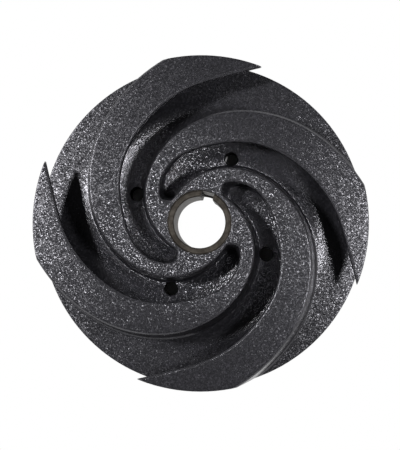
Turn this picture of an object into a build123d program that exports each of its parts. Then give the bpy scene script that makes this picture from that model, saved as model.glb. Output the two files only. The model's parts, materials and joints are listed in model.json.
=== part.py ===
from build123d import *

import math
import os

# Semi-open pump impeller: one sand casting with a machined bore, hub face and back.
#
# Four backward-curved vanes stand on a back disc. Each vane is a thin web with a flange along its
# free edge, which overhangs the channel on the vane's hollow side.
#
# Millimetres. The axis is Z, the back face lies on z = 0 and the open side looks along +Z.
# Angles run clockwise from +Y, as seen from the open side.

# Main dimensions
outer_diameter = 208.0
vane_count = 4
rim_thickness = 8.0         # back disc at the rim
vane_height = 30.0          # front of the rim to the flat tops of the vanes
flange_edge = 5.0           # thickness of a flange at its free edge
flange_root = 11.0          # thickness of a flange where it joins the web
web_draft = 7.5             # degrees, outward-facing walls
pocket_draft = 3.0          # degrees, inward-facing walls
draft_fade = 80.0           # degrees of sweep over which the draft grows from the closed end
pocket_corner = 3.2         # rounds the closed end of each channel
end_ramp = 7.0              # degrees of sweep by which the closed end runs in below the top
foot_bevel = 1.2            # walls to the channel floor
vane_edge_bevel = 1.0       # along the top edges of the vanes

# Channel floor: level at the rim, then a hollow blend into a cone that rises to the hub
level_floor_radius = 85.0
hub_core_radius = 22.0      # the vane curves start from this radius
floor_slope = 13.5          # degrees, the cone
floor_blend_radius = 60.0   # of the hollow between the level floor and the cone

# Bore and hub
bore_diameter = 32.0
bore_chamfer = 0.6
keyway_width = 8.0
keyway_depth = 3.5
keyway_angle = 16.0
hub_face_diameter = 38.2    # turned recess round the mouth of the bore, with a sloped wall
hub_face_depth = 1.0

# Balance holes
balance_hole_diameter = 9.0
balance_circle_radius = 45.5
balance_hole_angle = 25.0

# Back
hub_pad_diameter = 54.0     # bears on the shaft shoulder
rim_land_width = 14.0       # flat ring at the rim
back_relief_depth = 2.0     # turned relief between the hub pad and the rim land
rim_chamfer = 0.8

# Vane curves, as angle and reach from the hub core (0) to the rim (1).
# The last point of each runs past the rim, so that the rim cuts the curve cleanly.
vane_outer_edge = [
    (-52.0, 0.0),
    (-30.0, 0.020),
    (-10.0, 0.063),
    (25.0, 0.188),
    (60.0, 0.345),
    (95.0, 0.541),
    (130.0, 0.753),
    (167.5, 1.0),
    (175.0, 1.056),
]
flange_inner_edge = [
    (-60.0, 0.073),
    (-45.0, 0.154),
    (-25.0, 0.234),
    (5.0, 0.312),
    (35.0, 0.4585),
    (60.0, 0.594),
    (87.5, 0.771),
    (103.0, 0.888),
    (111.7, 1.0),
    (117.0, 1.080),
]
web_inner_wall = [
    (-60.0, 0.073),
    (-45.0, 0.154),
    (-25.0, 0.251),
    (5.0, 0.441),
    (35.0, 0.634),
    (60.0, 0.796),
    (77.5, 0.918),
    (88.0, 1.0),
    (94.0, 1.052),
]

outer_radius = outer_diameter / 2
bore_radius = bore_diameter / 2
hub_face_radius = hub_face_diameter / 2
hub_pad_radius = hub_pad_diameter / 2
rim_land_radius = outer_radius - rim_land_width
top_level = rim_thickness + vane_height
edge_level = top_level - flange_edge
root_level = top_level - flange_root
hub_face_level = top_level - hub_face_depth
core_base_level = rim_thickness / 2
clear_radius = outer_radius * 1.15


def polar_point(angle, radius):
    """Point at a clockwise angle from +Y."""
    return Vector(radius * math.sin(math.radians(angle)), radius * math.cos(math.radians(angle)))


def clockwise_angle(point):
    """Clockwise angle of a point from +Y, in degrees."""
    return math.degrees(math.atan2(point.X, point.Y))


def axis_distance(edge):
    """Distance of an edge's middle from the impeller's axis."""
    return math.hypot((edge @ 0.5).X, (edge @ 0.5).Y)


def curve_points(stations, shift, late_start):
    """Points of a vane curve, moved outward by a shift that fades out at the closed end.

    The curve starts late_start degrees after its first station.
    """
    (start_angle, start_reach), *others = stations
    points = []
    for angle, reach in [(start_angle + late_start, start_reach), *others]:
        radius = hub_core_radius + reach * (outer_radius - hub_core_radius)
        growth = min(1.0, (angle - start_angle) / draft_fade)
        points.append(polar_point(angle, radius + growth * shift))
    return points


def channel_section(level, outer_stations, wall_depth):
    """Section of one channel at a level; wall_depth is how far the inward wall has run down."""
    outward_shift = (top_level - level) * math.tan(math.radians(web_draft))
    inward_shift = -wall_depth * math.tan(math.radians(pocket_draft))
    late_start = end_ramp * min(1.0, (top_level - level) / flange_root)
    inner_points = curve_points(vane_outer_edge, outward_shift, late_start)
    outer_points = curve_points(outer_stations, inward_shift, late_start)
    middle_angle = (clockwise_angle(inner_points[-1]) + clockwise_angle(outer_points[-1])) / 2
    with BuildSketch(Plane.XY.offset(level)) as section:
        with BuildLine():
            Spline(*inner_points)
            ThreePointArc(inner_points[-1], polar_point(middle_angle, clear_radius), outer_points[-1])
            Spline(*outer_points)
            Line(outer_points[0], inner_points[0])
        make_face()
        closed_end = section.vertices().sort_by(lambda corner: math.hypot(corner.X, corner.Y))[:2]
        fillet(closed_end, radius=pocket_corner)
    return section


# The space that one channel leaves: open at the top and past the rim, undercut below the flange
with BuildPart() as channel:
    layers = [
        ((top_level, flange_inner_edge, 0.0), (edge_level, flange_inner_edge, 0.0)),
        ((edge_level, flange_inner_edge, 0.0), (root_level, web_inner_wall, 0.0)),
        ((root_level, web_inner_wall, 0.0), (core_base_level, web_inner_wall, root_level - core_base_level)),
    ]
    for upper, lower in layers:
        add(channel_section(*upper).sketch)
        add(channel_section(*lower).sketch)
        loft(ruled=True)

    # The disc's front stays: level at the rim, hollow blend, cone up to the hub
    with BuildSketch(Plane.XZ):
        with BuildLine():
            blend = CenterArc(
                (level_floor_radius, rim_thickness + floor_blend_radius),
                floor_blend_radius,
                start_angle=270,
                arc_size=-floor_slope,
            )
            cone_foot = blend @ 1
            Polyline(
                cone_foot,
                (0, cone_foot.Y + cone_foot.X * math.tan(math.radians(floor_slope))),
                (0, 0),
                (clear_radius * 2, 0),
                (clear_radius * 2, rim_thickness),
                blend @ 0,
            )
        make_face()
    revolve(axis=Axis.Z, mode=Mode.SUBTRACT)
    floor_faces = (
        channel.faces().filter_by(GeomType.CONE)
        + channel.faces().filter_by(GeomType.TORUS)
        + channel.faces().filter_by(GeomType.PLANE).sort_by(Axis.Z)[:1]
    )
    foot_edges = [
        edge
        for face in floor_faces
        for edge in face.edges().filter_by(GeomType.CIRCLE, reverse=True)
        if axis_distance(edge) < outer_radius
    ]
    chamfer(foot_edges, length=foot_bevel)

with BuildPart() as impeller:
    # Turned blank: disc with a relieved back, at full height
    with BuildSketch(Plane.XZ):
        with BuildLine():
            Polyline(
                (0, 0),
                (hub_pad_radius, 0),
                (hub_pad_radius, back_relief_depth),
                (rim_land_radius, back_relief_depth),
                (rim_land_radius, 0),
                (outer_radius - rim_chamfer, 0),
                (outer_radius, rim_chamfer),
                (outer_radius, top_level),
                (0, top_level),
                (0, 0),
            )
        make_face()
    revolve(axis=Axis.Z)

    # Flow channels
    with PolarLocations(0, vane_count):
        add(channel.part, mode=Mode.SUBTRACT)

    # Bevel along the vanes, except on the turned rim
    vane_edges = impeller.edges().group_by(Axis.Z)[-1].filter_by(
        lambda edge: axis_distance(edge) < outer_radius - vane_edge_bevel
    )
    chamfer(vane_edges, length=vane_edge_bevel)

    # Bore, with the turned face at its mouth
    with BuildSketch(Plane.XZ):
        with BuildLine():
            Polyline(
                (0, 0),
                (bore_radius + bore_chamfer, 0),
                (bore_radius, bore_chamfer),
                (bore_radius, hub_face_level - bore_chamfer),
                (bore_radius + bore_chamfer, hub_face_level),
                (hub_face_radius, hub_face_level),
                (hub_face_radius + hub_face_depth, top_level),
                (0, top_level),
                (0, 0),
            )
        make_face()
    revolve(axis=Axis.Z, mode=Mode.SUBTRACT)

    # Keyway
    with BuildSketch(Plane.XY):
        with Locations(Rotation(0, 0, -keyway_angle)):
            with Locations((0, bore_radius / 2 + keyway_depth / 2)):
                Rectangle(keyway_width, bore_radius + keyway_depth)
    extrude(amount=top_level, mode=Mode.SUBTRACT)

    # Balance holes, one in each channel
    with BuildSketch(Plane.XY):
        with PolarLocations(balance_circle_radius, vane_count, start_angle=90 - balance_hole_angle):
            Circle(balance_hole_diameter / 2)
    extrude(amount=root_level, mode=Mode.SUBTRACT)

impeller.part.label = "impeller"
os.makedirs("parts", exist_ok=True)
export_step(impeller.part, "parts/impeller.step")
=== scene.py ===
"""Looks of the pump impeller: rough cast iron under semi-gloss black paint, turned metal at the bore.

Metres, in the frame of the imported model: +Z is the bore axis and looks out of the open side.
"""

import json
import math

import bpy
from mathutils import Matrix, Vector


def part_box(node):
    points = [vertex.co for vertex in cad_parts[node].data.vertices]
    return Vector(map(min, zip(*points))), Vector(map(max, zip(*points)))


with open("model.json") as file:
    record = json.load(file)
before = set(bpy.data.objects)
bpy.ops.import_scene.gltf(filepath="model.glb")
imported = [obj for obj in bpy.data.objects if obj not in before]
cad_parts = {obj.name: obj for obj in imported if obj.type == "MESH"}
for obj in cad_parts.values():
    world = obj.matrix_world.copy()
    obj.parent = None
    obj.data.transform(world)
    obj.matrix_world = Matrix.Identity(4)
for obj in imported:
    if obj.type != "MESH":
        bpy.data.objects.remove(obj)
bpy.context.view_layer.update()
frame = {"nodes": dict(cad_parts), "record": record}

IMPELLER = "impeller"
MILLIMETRE = 0.001
low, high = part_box(IMPELLER)
TOP_LEVEL = high[2]
OUTER_RADIUS = (high[0] - low[0]) / 2
BORE = next(mount for mount in frame["record"]["mounts"] if mount["name"] == "bore")
BORE_RADIUS = BORE["dims"]["r_mm"] * MILLIMETRE
VANE_SPACING = 90.0             # degrees

# Turned surfaces: everything inside the hub face's recess, and the pad on the back
TURNED_RADIUS = 19.9 * MILLIMETRE
PAD_RADIUS = 27.0 * MILLIMETRE
PAD_DEPTH = 0.2 * MILLIMETRE
TURNING_PITCH = 0.35 * MILLIMETRE
TURNING_DEPTH = 0.01 * MILLIMETRE
TARNISH_SIZE = 5.0 * MILLIMETRE
TARNISH_NOISE = (0.35, 0.65)
METAL_CLEAN = (0.070, 0.062, 0.053, 1.0)
METAL_TARNISHED = (0.035, 0.030, 0.025, 1.0)

# The walls of the balance holes are steep, and lie outside the pad, inside this radius and below this level
HOLES_REACH = 52.0 * MILLIMETRE
HOLES_MOUTH = 17.5 * MILLIMETRE
STEEP_FACING = 0.5
# Painted shade: the balance holes' walls are coloured near black for the shade deep inside them, and made
# dull
HOLE_PAINTED_SHADE = (0.004, 0.004, 0.004, 1.0)

# Cast skin: small grains and larger ones, tilted more near the hub
EDGE_ROUNDING = 1.2 * MILLIMETRE
GRAIN_SIZE = 0.46 * MILLIMETRE
GRAIN_TILT = 0.21
LARGE_GRAIN_SIZE = 1.7 * GRAIN_SIZE
LARGE_GRAIN_TILT = 0.4 * GRAIN_TILT
HUB_ROUGHER = 1.2
ROUGHER_RADII = (30.0 * MILLIMETRE, 75.0 * MILLIMETRE)

# Paint
STAIN_SIZE = 1.5 * MILLIMETRE
STAIN_NOISE = (0.45, 0.75)
PAINT_DARK = (0.010, 0.010, 0.012, 1.0)
PAINT_PALE = (0.030, 0.029, 0.035, 1.0)
PAINT_SHEEN = (0.94, 0.93, 1.0, 1.0)

# Room: faint light from all round, and a white backdrop that stands up to a low height
ROOM_LIGHT = 0.03
BACKDROP_TOP = 0.35
BACKDROP_FADE = 0.1
FLOOR_HALF = 3.0
FLOOR_GAP = 0.2 * MILLIMETRE
FLOOR_COLOR = (0.8, 0.8, 0.8, 1.0)
HIDDEN_FLOOR = (1.15 * BORE_RADIUS, 0.9 * OUTER_RADIUS)
WHITE = (1.0, 1.0, 1.0, 1.0)

# Channels: how the floor's shading leans, as slopes, and the ranges over which it starts or ends.
# A facing is the upward part of the surface's normal.
CORE_RADIUS = 22.0 * MILLIMETRE
FLANGE_ROOT_LEVEL = TOP_LEVEL - 11.0 * MILLIMETRE
CONE_SLOPE = 0.24
HOLLOW_SLOPE = 0.37
FLOW_SLOPE = 0.17
INNER_RADII = (62.0 * MILLIMETRE, 80.0 * MILLIMETRE)
HOLLOW_PLACES = (0.05, 0.45)
UPWARD_FACINGS = (0.85, 0.93)
FULL_TURNS = 720.0              # degrees, keeps an angle positive

# The two edges that bound each channel's mouth, as angle and reach from the hub core (0) to the rim (1)
VANE_OUTER_EDGE = [
    (-52.0, 0.0),
    (-30.0, 0.020),
    (-10.0, 0.063),
    (25.0, 0.188),
    (60.0, 0.345),
    (95.0, 0.541),
    (130.0, 0.753),
    (167.5, 1.0),
]
FLANGE_INNER_EDGE = [
    (-60.0, 0.073),
    (-45.0, 0.154),
    (-25.0, 0.234),
    (5.0, 0.312),
    (35.0, 0.4585),
    (60.0, 0.594),
    (87.5, 0.771),
    (111.7, 1.0),
]

# Camera, almost straight above, from a little to the right and below in the picture
CAMERA_EYE = Vector((0.0372, -0.0320, TOP_LEVEL + 0.670))
CAMERA_AIM = Vector((0.0004, -0.0017, TOP_LEVEL))
SENSOR_WIDTH = 36.0             # millimetres, as is the lens
LENS = 87.05


# ---------------------------------------------------------------- node helpers


class Graph:
    """Short calls for building the node tree of a material or world."""

    def __init__(self, owner, output_kind):
        owner.use_nodes = True
        self.nodes = owner.node_tree.nodes
        self.links = owner.node_tree.links
        self.nodes.clear()
        self.output = self.nodes.new(output_kind)

    def put(self, socket, value):
        """Links a socket, or sets a plain value."""
        if isinstance(value, bpy.types.NodeSocket):
            self.links.new(value, socket)
        else:
            socket.default_value = value

    def node(self, kind, inputs=None, **settings):
        """A node of that kind with its settings and inputs."""
        made = self.nodes.new(kind)
        for key, value in settings.items():
            setattr(made, key, value)
        for key, value in (inputs or {}).items():
            self.put(made.inputs[key], value)
        return made

    def finish(self, surface):
        self.put(self.output.inputs["Surface"], surface)

    def math(self, operation, first, *others):
        """One value from several, taken in turn."""
        for other in others or (0.0,):
            made = self.node("ShaderNodeMath", operation=operation)
            self.put(made.inputs[0], first)
            self.put(made.inputs[1], other)
            first = made.outputs[0]
        return first

    def product(self, *values):
        return self.math("MULTIPLY", *values)

    def opposite(self, value):
        """1 where the value is 0, and 0 where it is 1."""
        return self.math("SUBTRACT", 1.0, value)

    def ramp(self, value, low_end, high_end):
        """0 below low_end, 1 above high_end, smooth between."""
        made = self.node("ShaderNodeMapRange", interpolation_type="SMOOTHSTEP")
        self.put(made.inputs["Value"], value)
        self.put(made.inputs["From Min"], low_end)
        self.put(made.inputs["From Max"], high_end)
        return made.outputs["Result"]

    def mix_color(self, factor, first, second):
        made = self.node("ShaderNodeMix", data_type="RGBA")
        self.put(made.inputs[0], factor)
        self.put(made.inputs[6], first)
        self.put(made.inputs[7], second)
        return made.outputs[2]

    def mix_shader(self, factor, first, second):
        made = self.node("ShaderNodeMixShader")
        self.put(made.inputs[0], factor)
        self.put(made.inputs[1], first)
        self.put(made.inputs[2], second)
        return made.outputs[0]

    def principled(self, **inputs):
        """A Principled shader; underscores in the names stand for spaces."""
        named = {key.replace("_", " "): value for key, value in inputs.items()}
        return self.node("ShaderNodeBsdfPrincipled", named).outputs[0]

    def vector(self, operation, *values):
        made = self.node("ShaderNodeVectorMath", operation=operation)
        for socket, value in zip(made.inputs, values):
            self.put(socket, value)
        return made.outputs[0]

    def split(self, vector):
        """X, Y and Z of a vector."""
        return self.node("ShaderNodeSeparateXYZ", {"Vector": vector}).outputs

    def join(self, x, y, z=0.0):
        return self.node("ShaderNodeCombineXYZ", {"X": x, "Y": y, "Z": z}).outputs[0]

    def spread(self, value):
        """The same number on all three axes."""
        return self.join(value, value, value)

    def place_on_object(self):
        """Position on the object, its X, Y and Z, and its distance from the bore axis."""
        position = self.node("ShaderNodeTexCoord").outputs["Object"]
        xyz = self.split(position)
        squares = self.math("ADD", self.product(xyz[0], xyz[0]), self.product(xyz[1], xyz[1]))
        return position, xyz, self.math("SQRT", squares)

    def curve(self, value, stations):
        """Angle, in degrees, of a vane curve at a reach between the hub core and the rim."""
        made = self.node("ShaderNodeFloatCurve", {"Value": value})
        line = made.mapping.curves[0]
        low_angle, high_angle = stations[0][0], stations[-1][0]
        for angle, reach in stations[1:-1]:
            line.points.new(reach, (angle - low_angle) / (high_angle - low_angle))
        line.points[0].location = (stations[0][1], 0.0)
        line.points[-1].location = (stations[-1][1], 1.0)
        made.mapping.update()
        return self.math("ADD", self.product(made.outputs[0], high_angle - low_angle), low_angle)

    def facets(self, position, size, tilt):
        """Sideways tilt of small flat grains."""
        cells = self.node("ShaderNodeTexVoronoi", {"Vector": position, "Scale": 1.0 / size})
        centred = self.vector("SUBTRACT", cells.outputs["Color"], (0.5, 0.5, 0.5))
        return self.vector("MULTIPLY", centred, (tilt, tilt, tilt))

    def noise(self, position, wavelength, detail):
        made = self.node(
            "ShaderNodeTexNoise",
            {"Vector": position, "Scale": 1.0 / wavelength, "Detail": detail, "Roughness": 0.6},
        )
        return made.outputs[0]


# ---------------------------------------------------------------- materials


def channel_place(g, xyz, radius):
    """How far across its channel a point lies: 0 at the vane behind, 1 under the flange's edge."""
    angle = g.product(g.math("ARCTAN2", xyz[0], xyz[1]), 180 / math.pi)
    reach = g.math("DIVIDE", g.math("SUBTRACT", radius, CORE_RADIUS), OUTER_RADIUS - CORE_RADIUS)
    wall_angle = g.curve(reach, VANE_OUTER_EDGE)
    flange_angle = g.curve(reach, FLANGE_INNER_EDGE)
    from_wall = g.math("ADD", g.math("SUBTRACT", wall_angle, angle), FULL_TURNS)
    behind = g.math("MODULO", from_wall, VANE_SPACING)
    return g.math("DIVIDE", behind, g.math("SUBTRACT", wall_angle, flange_angle))


def channel_normal(g, xyz, radius, facing):
    """Normal of the casting, with rounded edges and the channel floors hollow near the hub.

    There the floors are hollow across, and run down along the flow.
    """
    rounded = g.node("ShaderNodeBevel", {"Radius": EDGE_ROUNDING}, samples=6).outputs[0]
    x_part = g.math("DIVIDE", xyz[0], radius)
    y_part = g.math("DIVIDE", xyz[1], radius)
    outward = g.join(x_part, y_part)
    along = g.join(y_part, g.product(x_part, -1.0))

    below_flange = g.math("LESS_THAN", xyz[2], FLANGE_ROOT_LEVEL)
    on_floor = g.product(g.ramp(facing, *UPWARD_FACINGS), below_flange)
    inner = g.opposite(g.ramp(radius, *INNER_RADII))
    hollow_part = g.product(inner, g.ramp(channel_place(g, xyz, radius), *HOLLOW_PLACES))
    inward = g.math("ADD", g.product(inner, CONE_SLOPE), g.product(hollow_part, HOLLOW_SLOPE))
    across = g.product(inward, on_floor, -1.0)
    flow = g.product(inner, FLOW_SLOPE, on_floor)
    tilted = g.vector("MULTIPLY_ADD", outward, g.spread(across), rounded)
    return g.vector("MULTIPLY_ADD", along, g.spread(flow), tilted)


def painted_skin(g, position, radius, normal):
    """Black paint over sand grain: small flat grains, each tilted its own way, among larger ones."""
    grains = g.vector(
        "ADD",
        g.facets(position, GRAIN_SIZE, GRAIN_TILT),
        g.facets(position, LARGE_GRAIN_SIZE, LARGE_GRAIN_TILT),
    )
    near_hub = g.opposite(g.ramp(radius, *ROUGHER_RADII))
    rougher = g.math("ADD", 1.0, g.product(HUB_ROUGHER, near_hub))
    grains = g.vector("MULTIPLY", grains, g.spread(rougher))
    skin_normal = g.vector("NORMALIZE", g.vector("ADD", normal, grains))
    stains = g.ramp(g.noise(position, STAIN_SIZE, detail=2.0), *STAIN_NOISE)
    return g.principled(
        Base_Color=g.mix_color(stains, PAINT_DARK, PAINT_PALE),
        Roughness=0.28,
        IOR=1.75,
        Specular_Tint=PAINT_SHEEN,
        Normal=skin_normal,
    )


def turned_metal(g, position, xyz, radius):
    """Bare metal with turning marks: rings round the axis on the faces, and along it in the bore."""
    rings = g.math("SINE", g.product(g.math("ADD", radius, xyz[2]), 2 * math.pi / TURNING_PITCH))
    marks = g.node("ShaderNodeBump", {"Height": rings, "Strength": 0.6, "Distance": TURNING_DEPTH})
    tarnish = g.ramp(g.noise(position, TARNISH_SIZE, detail=4.0), *TARNISH_NOISE)
    return g.principled(
        Base_Color=g.mix_color(tarnish, METAL_CLEAN, METAL_TARNISHED),
        Metallic=0.8,
        Roughness=0.5,
        Specular_IOR_Level=0.2,
        Normal=marks.outputs[0],
    )


def casting_material():
    """Painted sand casting, with turned metal at the bore and on the pad, and painted shade on the dull
    walls of the balance holes.
    """
    material = bpy.data.materials.new("painted_casting")
    g = Graph(material, "ShaderNodeOutputMaterial")
    position, xyz, radius = g.place_on_object()
    facing = g.split(g.node("ShaderNodeNewGeometry").outputs["True Normal"])[2]
    paint = painted_skin(g, position, radius, channel_normal(g, xyz, radius, facing))
    metal = turned_metal(g, position, xyz, radius)
    # Painted shade on the balance holes' walls: a near-black dull paint in place of the shade deep in the
    # holes
    hole_painted_shade = g.principled(Base_Color=HOLE_PAINTED_SHADE, Roughness=0.95, Specular_IOR_Level=0.1)

    inside_hub = g.math("LESS_THAN", radius, TURNED_RADIUS)
    on_pad = g.product(g.math("LESS_THAN", radius, PAD_RADIUS), g.math("LESS_THAN", xyz[2], PAD_DEPTH))
    surface = g.mix_shader(g.math("MAXIMUM", inside_hub, on_pad), paint, metal)
    shaded_hole_walls = g.product(
        g.math("LESS_THAN", g.math("ABSOLUTE", facing), STEEP_FACING),
        g.math("LESS_THAN", radius, HOLES_REACH),
        g.math("GREATER_THAN", radius, PAD_RADIUS),
        g.math("LESS_THAN", xyz[2], HOLES_MOUTH),
    )
    g.finish(g.mix_shader(shaded_hole_walls, surface, hole_painted_shade))
    return material


def floor_material():
    """Pale floor that shows white to the camera and in reflections, and keeps the contact shadow."""
    material = bpy.data.materials.new("pale_floor")
    g = Graph(material, "ShaderNodeOutputMaterial")
    radius = g.place_on_object()[2]
    under_disc = g.product(
        g.math("GREATER_THAN", radius, HIDDEN_FLOOR[0]),
        g.math("LESS_THAN", radius, HIDDEN_FLOOR[1]),
    )
    lit = g.node("ShaderNodeBsdfDiffuse", {"Color": FLOOR_COLOR}).outputs[0]
    glow = g.node("ShaderNodeEmission", {"Color": WHITE, "Strength": 1.0}).outputs[0]
    path = g.node("ShaderNodeLightPath").outputs
    rays = ("Is Camera Ray", "Is Glossy Ray", "Is Transmission Ray")
    seen = g.math("MAXIMUM", *[path[name] for name in rays])
    g.finish(g.mix_shader(g.product(seen, g.opposite(under_disc)), lit, glow))
    return material


# ---------------------------------------------------------------- scene


def link(thing):
    bpy.context.scene.collection.objects.link(thing)


def turn(thing, quaternion):
    thing.rotation_mode = "QUATERNION"
    thing.rotation_quaternion = quaternion


def make_floor():
    corners = [(-1, -1), (1, -1), (1, 1), (-1, 1)]
    mesh = bpy.data.meshes.new("floor")
    mesh.from_pydata([(x * FLOOR_HALF, y * FLOOR_HALF, 0) for x, y in corners], [], [(0, 1, 2, 3)])
    mesh.materials.append(floor_material())
    floor = bpy.data.objects.new("floor", mesh)
    floor.location.z = low[2] - FLOOR_GAP
    link(floor)


def make_world():
    """White to the camera; a white backdrop below and a dark room above in the reflections."""
    world = bpy.data.worlds.new("studio")
    g = Graph(world, "ShaderNodeOutputWorld")
    height = g.split(g.node("ShaderNodeTexCoord").outputs["Generated"])[2]
    ends = {"Value": height, "From Min": BACKDROP_TOP, "From Max": BACKDROP_TOP - BACKDROP_FADE}
    backdrop = g.node("ShaderNodeMapRange", ends).outputs["Result"]
    path = g.node("ShaderNodeLightPath").outputs
    mirrored = g.product(path["Is Glossy Ray"], backdrop)
    seen = g.math("MAXIMUM", path["Is Camera Ray"], mirrored, path["Is Transmission Ray"])
    strength = g.math("MAXIMUM", seen, ROOM_LIGHT)
    g.finish(g.node("ShaderNodeBackground", {"Color": WHITE, "Strength": strength}).outputs[0])
    bpy.context.scene.world = world


def make_softbox(name, azimuth, elevation, distance, side, power):
    """Square area light aimed at the impeller; azimuth runs clockwise from +Y."""
    light = bpy.data.lights.new(name, "AREA")
    light.shape = "SQUARE"
    light.size = side
    light.energy = power
    lamp = bpy.data.objects.new(name, light)
    flat = math.cos(math.radians(elevation))
    direction = Vector((
        math.sin(math.radians(azimuth)) * flat,
        math.cos(math.radians(azimuth)) * flat,
        math.sin(math.radians(elevation)),
    ))
    lamp.location = Vector((0, 0, TOP_LEVEL)) + direction * distance
    turn(lamp, direction.to_track_quat("Z", "Y"))
    link(lamp)


def make_camera():
    camera_data = bpy.data.cameras.new("camera")
    camera_data.sensor_width = SENSOR_WIDTH
    camera_data.lens = LENS
    camera = bpy.data.objects.new("camera", camera_data)
    camera.location = CAMERA_EYE
    away = (CAMERA_EYE - CAMERA_AIM).normalized()
    right = Vector((0, 1, 0)).cross(away).normalized()
    up = away.cross(right)
    turn(camera, Matrix((right, up, away)).transposed().to_quaternion())
    link(camera)
    bpy.context.scene.camera = camera


impeller = frame["nodes"][IMPELLER]
impeller.data.materials.clear()
impeller.data.materials.append(casting_material())
make_floor()
make_world()
make_softbox("left_softbox", azimuth=284.6, elevation=54.0, distance=0.91, side=0.09, power=6.4)
make_softbox("right_softbox", azimuth=95.6, elevation=58.0, distance=0.54, side=0.07, power=1.7)
make_camera()
bpy.context.scene.view_settings.view_transform = "Standard"
